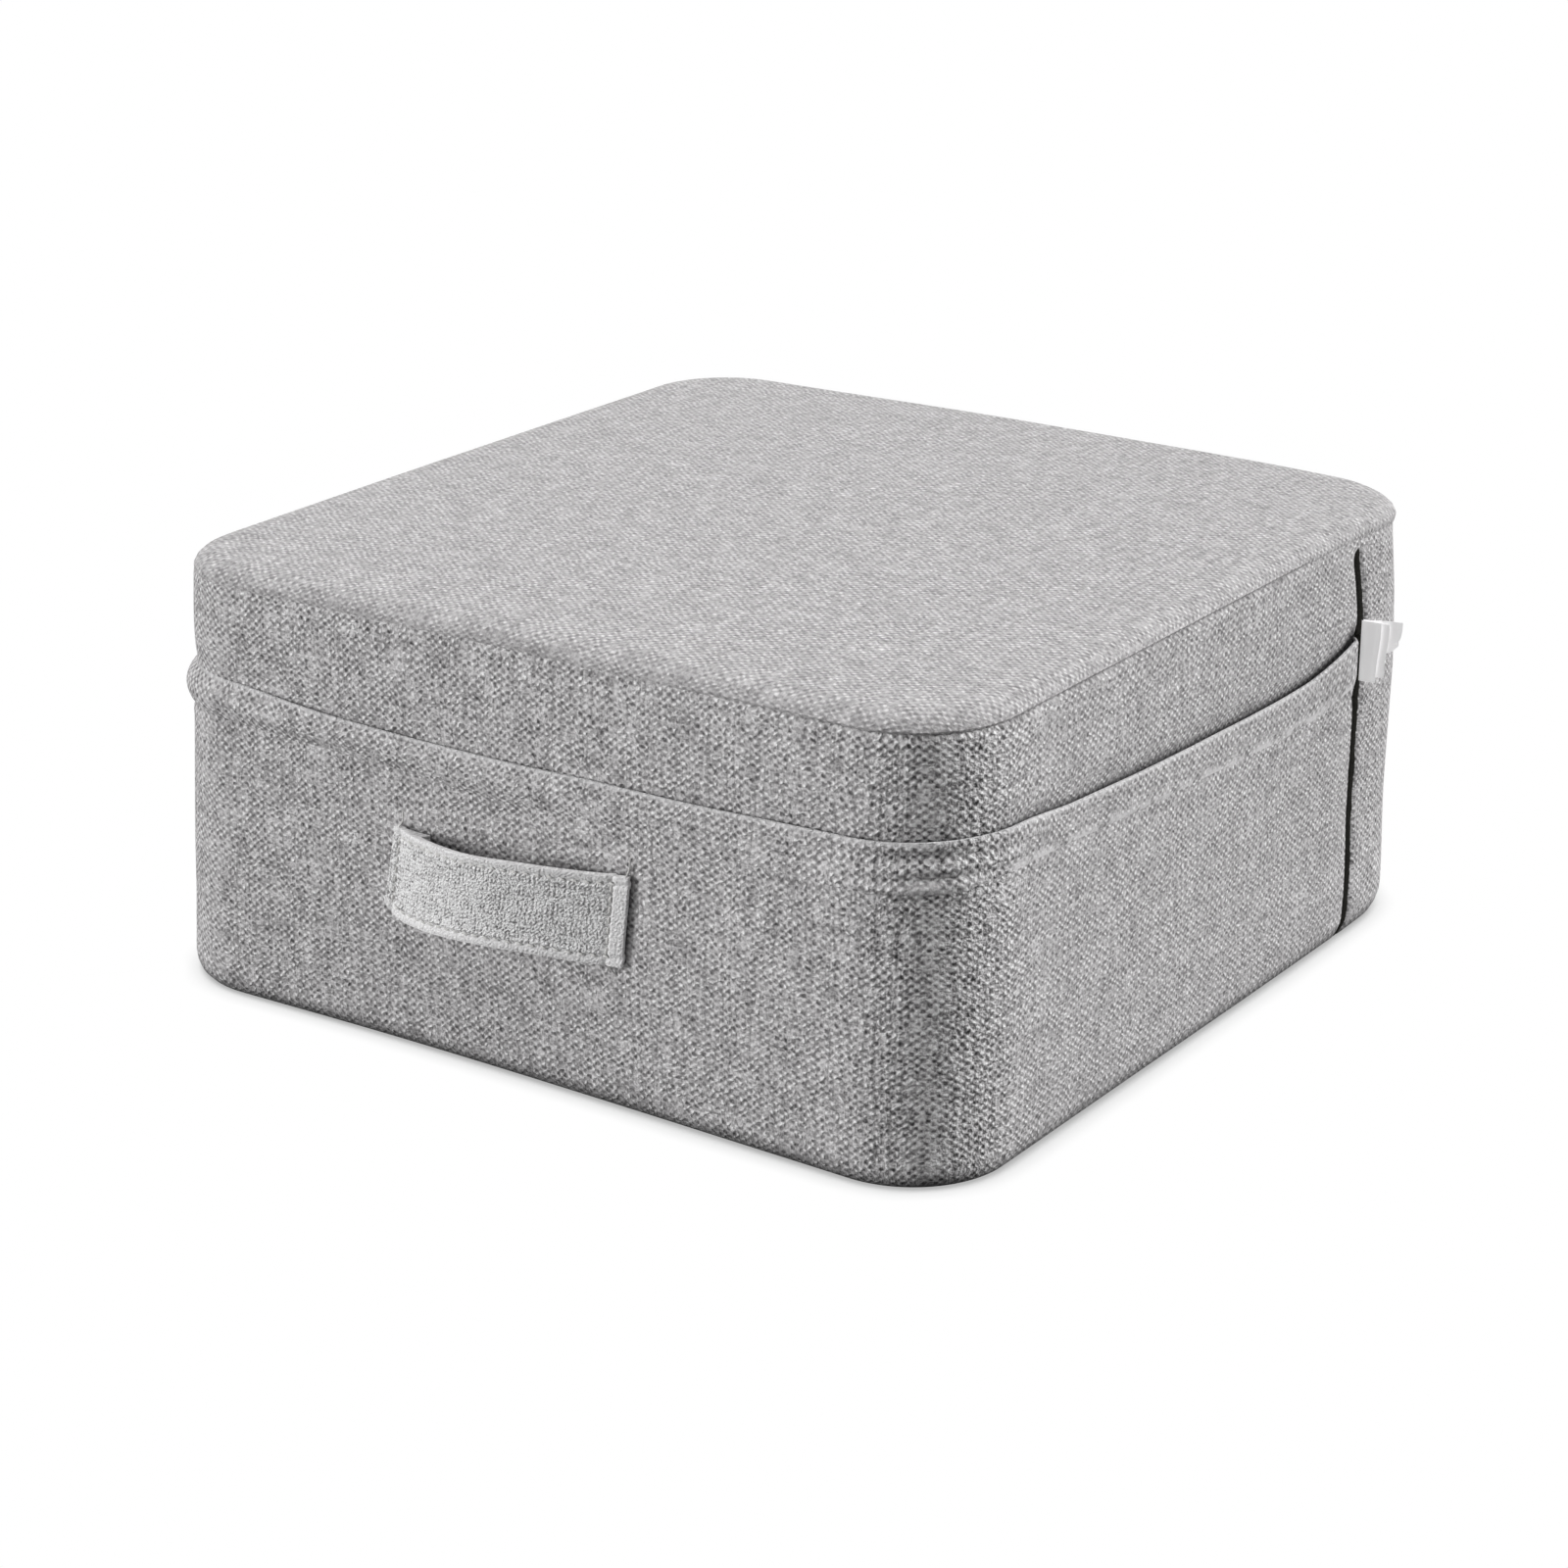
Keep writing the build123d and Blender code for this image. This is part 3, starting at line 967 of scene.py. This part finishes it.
def make_lid_boxing():
    reach = wall_reach(*lid_wall, seam_front - lid_centre_y)
    rise = top_seam - lid_bottom - bottom_roll
    turn = bottom_roll * math.pi / 2
    height = lid_hem + turn + rise
    strip = flat_cloth("lid_boxing", 2 * reach, height, step_up=1.0 * MM)

    def place(across, up):
        spot, out = round_wall(across, *lid_wall)
        way = up + height / 2
        if way < lid_hem:
            out_by, level = way - lid_hem - bottom_roll, lid_bottom
        elif way < lid_hem + turn:
            angle = (way - lid_hem) / bottom_roll
            out_by = bottom_roll * (math.sin(angle) - 1)
            level = lid_bottom + bottom_roll * (1 - math.cos(angle))
        else:
            out_by = 0.0
            level = lid_bottom + bottom_roll + way - lid_hem - turn
        rim = read_off(rim_line, across)
        to_edge = reach - abs(across)
        share = (level - lid_bottom) / (top_seam - lid_bottom)
        ease = smooth(0, 10 * MM, to_edge) * math.sin(math.pi * share)
        out_by += ease * (0.4 * MM + 0.3 * MM * ripple(across, level, 30 * MM, 15.1))
        drawn_in = 0.3 * MM + 0.45 * MM * smooth(75 * MM, 150 * MM, across)
        out_by -= drawn_in * (1 - smooth(rim - 1 * MM, rim + 4.5 * MM, level))
        out_by -= seam_depth(spot) * turned_edge(top_seam - level, seam_groove)
        out_by -= turned_edge(to_edge, seam_roll) * (1 - seam_closed(level))
        spot.y += read_off(lid_seam_line, level) * smooth(reach - 35 * MM, reach, across)
        spot.y -= seam_edge(to_edge, level, 53)
        return lid_pull(spot + out_by * out + Vector((0, lid_centre_y, level)))

    make_up(strip, place, cloth_thickness, "lid", cover_cloth)
    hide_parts("lid_side_cover")


def make_lid_lining():
    """The lining under the lid, which reaches on out to the back panel behind the upright seams."""
    inset = bottom_roll + lid_hem - 0.3 * MM
    half_x = lid_half_width - inset
    half_y = lid_half_depth - inset
    radius = lid_corner_radius - inset
    to_panel = inset - cloth_thickness - 0.4 * MM
    side_gap = 0.9 * MM
    seam_place = seam_front - lid_centre_y
    lining = flat_cloth("lid_lining_cloth", 2 * half_x, 2 * half_y, step=2 * MM)

    def place(across, up):
        x, y = rounded_cut(across, up, half_x, half_y, radius)
        ease = smooth(0, 6 * MM, to_cut_edge(x, y, half_x, half_y, radius))
        level = lid_bottom + 0.55 * MM - ease * 0.12 * MM * (1 + ripple(x, y, 35 * MM, 17.0))
        behind = smooth(seam_place - 2 * MM, seam_place - 0.5 * MM, y)
        x *= 1 + behind * (to_panel + side_gap) / half_x
        y += to_panel * smooth(0, half_y, y)
        return Vector((x, lid_centre_y + y, level))

    make_up(lining, place, lining_thickness, "lid", lining_cloth)
    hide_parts("lid_lining")


# Seam bindings in the upright seams

def make_seam_binding(name, body, node, side, bottom, top, face):
    """A narrow uneven black strip that fills one upright seam, level with the rolled edges beside it."""
    width = seam_back - seam_front + 2 * seam_spread + 0.9 * MM
    strip = flat_cloth(name, width, top - bottom, step=0.26 * MM, step_up=0.5 * MM)

    def place(across, up):
        level = up + (top + bottom) / 2
        ragged = 0.22 * MM * ripple(level, side * 3, 2.2 * MM, 21.0)
        ragged += 0.25 * MM * ripple(level, side * 3, 9 * MM, 22.0)
        hump = 0.45 * MM * (1 - (2 * across / width) ** 2)
        out_by = face - 0.6 * MM + hump + 0.15 * MM * ripple(level, across, 1.6 * MM, 23.0)
        out_by -= base_edge_in * (1 - math.sqrt(max(1 - (1 - min(level / base_edge_up, 1)) ** 2, 0)))
        y = seam_middle + side * across + ragged
        if side > 0 and body == "case":
            out_by += foot(right_end, level)
            y += read_off(case_seam_line, level)
        elif side > 0:
            y += read_off(lid_seam_line, level)
        return Vector((side * out_by, y, level))

    make_up(strip, place, binding_thickness, body, black_binding)
    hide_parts(node)


# Handle

# Distance of the strap's outer face from the wall, and the heights of its lower and upper edges, in
# millimetres, against the share of the way from its left end to its right end
strap_line = [
    (0.0, 1.6), (0.05, 2.4), (0.12, 3.9), (0.24, 6.2), (0.38, 7.8), (0.52, 7.9), (0.68, 6.3),
    (0.84, 3.7), (0.94, 1.9), (1.0, 1.3),
]
lower_line = [
    (0.0, 30.8), (0.02, 29.8), (0.06, 28.9), (0.12, 28.7), (0.33, 30.0), (0.52, 30.9), (0.72, 31.0),
    (0.86, 30.7), (1.0, 30.8),
]
upper_line = [
    (0.0, 47.0), (0.1, 46.9), (0.17, 47.2), (0.42, 48.1), (0.6, 48.7), (0.85, 48.7), (1.0, 49.0),
]
# Both ends of the strap slant: how far in its lower and upper corners lie
left_slant = [(0.0, -0.7), (1.0, 2.5)]
right_slant = [(0.0, -1.9), (1.0, 0.0)]


def strap_point(share, rise):
    """A point on the outer face of the strap: share of the way from left to right, rise from its
    lower edge to its upper one."""
    left = strap_low.x + MM * through(left_slant, rise)
    right = strap_high.x + MM * through(right_slant, rise)
    lower = MM * through(lower_line, share)
    upper = MM * through(upper_line, share)
    return Vector((
        left + (right - left) * share,
        -half_depth - MM * through(strap_line, share),
        lower + (upper - lower) * rise,
    ))


def make_handle():
    strap = flat_cloth("handle_strap_cloth", strap_width, strap_height, step=0.33 * MM)

    def place(across, up):
        spot = strap_point(across / strap_width + 0.5, up / strap_height + 0.5)
        edge = strap_height / 2 - abs(up)
        to_left = across + strap_width / 2
        to_right = strap_width / 2 - across
        fold = 0.25 * MM * (1 - smooth(2.4 * MM, 3.1 * MM, edge))
        band = 0.45 * MM * (1 - smooth(end_band - 0.2 * MM, end_band + 0.2 * MM, to_right))
        groove = 0.45 * MM * hill(edge, stitch_inset, 0.35 * MM)
        groove += 0.4 * MM * hill(to_left, left_stitches, 0.35 * MM)
        groove += 0.4 * MM * hill(to_right, right_stitches, 0.35 * MM)
        soft = 0.12 * MM * ripple(across, up, 7 * MM, 31.0)
        spot.y -= max(fold, band) - groove + soft
        return spot

    lay(strap, place)
    thicken(strap, strap_thickness)
    apply_modifier(
        strap, "BEVEL",
        width=0.3 * MM, segments=2, limit_method="ANGLE", angle_limit=math.radians(60),
    )
    dress(strap, "case", webbing)
    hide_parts("handle_strap")


def make_turned_end():
    """The strap's left end, turned under and sewn down, which fills the space behind the strap there."""
    length, height, thickness = 6.3 * MM, 15.2 * MM, 3.2 * MM
    end = flat_cloth("handle_turned_end", length, height, step=0.6 * MM)

    def place(across, up):
        share = (across + length / 2) / strap_width
        spot = strap_point(0.012 + share, 0.5 + 0.93 * up / height)
        spot.y += strap_thickness - 0.1 * MM
        return spot

    make_up(end, place, thickness, "case", webbing)


def make_stitches():
    """Rows of lockstitch along the strap's four sides: one stitch is modelled, then copied."""
    bpy.ops.object.select_all(action="DESELECT")
    bpy.ops.mesh.primitive_uv_sphere_add(segments=8, ring_count=6, radius=1, location=(0, 0, 0))
    stitch = bpy.context.object
    bpy.ops.transform.resize(value=(0.8 * MM, 0.27 * MM, 0.27 * MM))
    bpy.ops.object.transform_apply(location=True, rotation=True, scale=True)
    inset_up = stitch_inset / strap_height
    rows = []
    for rise in (inset_up, 1 - inset_up):
        rows += [((k + 0.5) / 24, rise, 0.004, 0) for k in range(1, 23)]
    for share in (left_stitches / strap_width, 1 - right_stitches / strap_width):
        rows += [(share, inset_up + (1 - 2 * inset_up) * (k + 0.5) / 7, 0, 0.01) for k in range(7)]
    copies = []
    for share, rise, along, up in rows:
        spot = strap_point(share, rise)
        ahead = strap_point(share + along, rise + up)
        pick(stitch)
        bpy.ops.object.duplicate()
        copy = bpy.context.object
        copy.location = spot + Vector((0, 0.05 * MM, 0))
        copy.rotation_euler = (ahead - spot).to_track_quat("X", "Z").to_euler()
        copies.append(copy)
    pick(stitch)
    bpy.ops.object.delete()
    pick(copies[0])
    for copy in copies:
        copy.select_set(True)
    bpy.ops.object.join()
    seams = bpy.context.object
    seams.name = seams.data.name = "handle_stitches"
    bpy.ops.object.transform_apply(location=True, rotation=True, scale=True)
    dress(seams, "case", thread)


def make_thread_tails():
    """Short cut ends of sewing thread at the corners of the strap."""
    for name, share, rise, steps in (
        ("thread_tail_top_left", 0.02, 0.99, ((0.8, 0.5, 1.6), (1.0, 0.4, 3.4))),
        ("thread_tail_top_right", 0.985, 0.99, ((0.4, 0.6, 1.4), (0.9, 0.3, 3.8))),
        ("thread_tail_low_right", 0.94, 0.02, ((0.3, 0.8, -1.2), (1.1, 1.4, -2.6))),
    ):
        start = strap_point(share, rise)
        curve = bpy.data.curves.new(name, "CURVE")
        curve.dimensions = "3D"
        curve.bevel_depth = 0.16 * MM
        curve.bevel_resolution = 2
        curve.use_fill_caps = True
        line = curve.splines.new("BEZIER")
        line.bezier_points.add(len(steps))
        for point, step in zip(line.bezier_points, ((0, 0, 0),) + steps):
            point.co = start + MM * Vector(step)
            point.handle_left_type = point.handle_right_type = "AUTO"
        tail = new_object(name, curve)
        pick(tail)
        bpy.ops.object.convert(target="MESH")
        dress(tail, "case", thread)


# Label: a folded ribbon, its front leaf hanging down by the seam and its back leaf standing out, with
# the lower outer corner of the back leaf turned up

def make_label():
    low, high = label_low.z, label_high.z
    full_width = 7.9 * MM
    for name, width, bottom, top, turn, behind, corner_up in (
        ("label_front_leaf", 3.7 * MM, low + 1.1 * MM, high + 2.0 * MM, 20, 0.0, 0.0),
        ("label_middle_leaf", 5.2 * MM, low + 2.1 * MM, high + 1.7 * MM, 27, 0.35 * MM, 0.0),
        ("label_back_leaf", full_width, high - 5.2 * MM, high + 2.0 * MM, 38, 0.7 * MM, 2.2 * MM),
    ):
        height = top - bottom
        leaf = flat_cloth(name, width, height, step=0.3 * MM)

        def place(across, up):
            way = across + width / 2
            angle = math.radians(turn) * smooth(-2 * MM, 3 * MM, way)
            share = way / width
            curl = 0.35 * MM * math.sin(1.3 * math.pi * up / height) * share
            level = up + (top + bottom) / 2 - 0.8 * MM * way / full_width
            level += corner_up * share ** 5 * smooth(-0.1, 0.5, -up / height)
            x = label_low.x + way * math.cos(angle) + curl
            y = seam_middle + behind + way * math.sin(angle)
            return Vector((x, y, level))

        make_up(leaf, place, ribbon_thickness, "case", white_satin)
    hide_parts("care_label")


# Foam padding and lining of the walls

def make_wall_pad():
    """The padding, as thin as it is squeezed where the cover is tightest."""
    inset, thickness = 2.7 * MM, 1.1 * MM
    wall = half_width - inset, half_depth - inset, corner_radius - inset
    bottom, top = 3.6 * MM, ledge - 1.2 * MM
    pad = flat_cloth("wall_pad", 4 * wall_reach(*wall, 0), top - bottom, step=3 * MM)

    def place(across, up):
        return all_round(across, *wall)[0] + Vector((0, 0, up + (top + bottom) / 2))

    make_up(pad, place, thickness, "case", foam, closed=True)
    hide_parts("wall_padding")


def make_wall_lining():
    """The lining of the walls, turned out over the tops of the boards."""
    round_it = 4 * wall_reach(*room_wall, 0)
    turn_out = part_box("wall_lining")[1].x - floor_high.x
    rise = ledge - floor_high.z
    height = rise + turn_out
    edge_roll = 1.2 * MM
    lining = flat_cloth("wall_lining_cloth", round_it, height, step=1.6 * MM)

    def place(across, up):
        spot, out = all_round(across, *room_wall)
        way = up + height / 2
        if way < rise:
            level = floor_high.z + way
            ease = smooth(0, 8 * MM, way) * smooth(0, 8 * MM, rise - way)
            out_by = -ease * (0.25 * MM + 0.35 * MM * ripple(across, way, 24 * MM, 41.0))
        else:
            out_by = way - rise
            level = ledge - 0.25 * MM * (1 - min(out_by, edge_roll) / edge_roll)
        return spot + out_by * out + Vector((0, 0, level))

    make_up(lining, place, lining_thickness, "case", lining_cloth, closed=True)
    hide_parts("wall_lining")


def make_base_cloth():
    """The cover under the base: faces down, slightly uneven, its edge rolled up into the seam."""
    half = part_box("base_cover")[1].x
    cut = half, half, corner_radius - base_edge_in
    cloth = flat_cloth("base_cloth", 2 * half, 2 * half, step=1.8 * MM)

    def place(across, up):
        x, y = rounded_cut(across, up, *cut)
        edge = to_cut_edge(x, y, *cut)
        level = turned_edge(edge, seam_roll)
        level += 0.12 * MM * smooth(0, 8 * MM, edge) * (1 + ripple(x, y, 40 * MM, 61.0))
        return Vector((x, -y, level))

    make_up(cloth, place, cloth_thickness, "case", flat_cover_cloth)
    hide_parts("base_cover")


def make_floor_lining():
    """The lining of the floor, a little loose, turned up where it meets the walls."""
    half = floor_high.x
    cut = half, half, floor_radius
    lining = flat_cloth("floor_lining_cloth", 2 * half, 2 * half, step=1.8 * MM)

    def place(across, up):
        x, y = rounded_cut(across, up, *cut)
        edge = to_cut_edge(x, y, *cut)
        level = floor_high.z - 0.1 * MM + 0.9 * MM * (1 - smooth(0, 2.5 * MM, edge))
        level += 0.25 * MM * smooth(0, 12 * MM, edge) * ripple(x, y, 32 * MM, 43.0)
        return Vector((x, y, level))

    make_up(lining, place, lining_thickness, "case", lining_cloth)
    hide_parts("base_lining")


make_case_wrap()
make_base_cloth()
make_collar()
make_back_panel()
make_lid_pad()
make_lid_top()
make_lid_boxing()
make_lid_lining()
for side_name, side in (("left", -1), ("right", 1)):
    make_seam_binding(
        f"case_seam_binding_{side_name}", "case", "case_seam_tapes", side,
        0.4 * MM, rim_level, half_width,
    )
    make_seam_binding(
        f"lid_seam_binding_{side_name}", "lid", "lid_seam_tapes", side,
        lid_bottom + 0.5 * MM, top_seam - 1.5 * MM, lid_half_width,
    )
make_handle()
make_turned_end()
make_stitches()
make_thread_tails()
make_label()
make_wall_pad()
make_wall_lining()
make_floor_lining()

# The boards inside are the frame's own solids
for node_name in (
    "front_board", "rear_board", "left_board", "right_board", "corner_strips", "base_board", "lid_board",
):
    node = frame["nodes"][node_name]
    node.data.materials.clear()
    node.data.materials.append(board)


# Stage, light and camera

def show_camera(tree, lit, seen, output):
    """Shows the camera one surface, while all other light meets another."""
    to_camera = add(tree, "LightPath").outputs["Is Camera Ray"]
    add(tree, output, {"Surface": add(tree, "MixShader", {0: to_camera, 1: lit, 2: seen})})


def make_stage():
    """White paper that the camera sees evenly lit, with a thin painted contact shadow; light that bounces
    off it is that of a greyer floor."""
    bpy.ops.object.select_all(action="DESELECT")
    bpy.ops.mesh.primitive_plane_add(size=12, location=(0, 0, 0))
    ground = bpy.context.object
    ground.name = "studio_floor"
    material, tree = start_material("white_floor_paper")
    floor = add(
        tree, "BsdfPrincipled",
        {"Base Color": linear("#858585"), "Roughness": 1.0, "Specular IOR Level": 0.0},
    )
    # Painted shadow: ambient occlusion darkens the paper's glow near the foot of the bin.
    near = add(tree, "AmbientOcclusion", {"Distance": 8 * MM}, samples=8).outputs["AO"]
    shade = add(
        tree, "ValToRGB", {"Fac": near},
        stops=((0.3, "#b4b4b4"), (0.5, "#ececec"), (0.75, "#ffffff")),
    )
    paper = add(tree, "Emission", {"Color": shade, "Strength": 1.0})
    show_camera(tree, floor, paper, "OutputMaterial")
    ground.data.materials.append(material)


def make_world():
    world = bpy.data.worlds.new("studio_world")
    bpy.context.scene.world = world
    world.use_nodes = True
    tree = world.node_tree
    tree.nodes.clear()
    room = add(tree, "Background", {"Color": linear("#ffffff"), "Strength": 0.06})
    white = add(tree, "Background", {"Color": linear("#ffffff"), "Strength": 1.0})
    show_camera(tree, room, white, "OutputWorld")


def direction(azimuth, elevation):
    """The way towards an azimuth, where 0 is the front and 90 the right, and an elevation."""
    turn, rise = math.radians(azimuth), math.radians(elevation)
    return Vector((
        math.sin(turn) * math.cos(rise), -math.cos(turn) * math.cos(rise), math.sin(rise),
    ))


def make_sun(name, azimuth, elevation, strength, angle):
    """A broad even light from one direction."""
    light = bpy.data.lights.new(name, "SUN")
    light.energy = strength
    light.angle = math.radians(angle)
    lamp = new_object(name, light)
    lamp.rotation_euler = direction(azimuth, elevation).to_track_quat("Z", "Y").to_euler()


# Camera worked out from the photograph's vanishing lines and the known size of the base
photo_size = 1600
focal_pixels = 3677
axis_pixel_x, axis_pixel_y = 822.4, 727.5
camera_azimuth, camera_elevation, camera_roll = 34.27, 19.41, 0.25
camera_distance = 744 * MM
camera_target = Vector((0, 0, 47.5 * MM))


def make_camera():
    data = bpy.data.cameras.new("camera")
    data.sensor_width = 36
    data.lens = focal_pixels / photo_size * data.sensor_width
    data.shift_x = (photo_size / 2 - axis_pixel_x) / photo_size
    data.shift_y = (axis_pixel_y - photo_size / 2) / photo_size
    camera = new_object("camera", data)
    back = direction(camera_azimuth, camera_elevation)
    camera.location = camera_target + camera_distance * back
    level = (-back).to_track_quat("-Z", "Y").to_matrix()
    camera.rotation_euler = (level @ Matrix.Rotation(math.radians(camera_roll), 3, "Z")).to_euler()
    bpy.context.scene.camera = camera


make_stage()
make_world()
make_sun("top_light", 150, 78, 2.33, 80)
make_sun("left_light", -45, 10, 2.58, 28)
make_sun("right_light", 128, 18, 2.34, 26)
make_camera()
bpy.context.scene.view_settings.view_transform = "Standard"
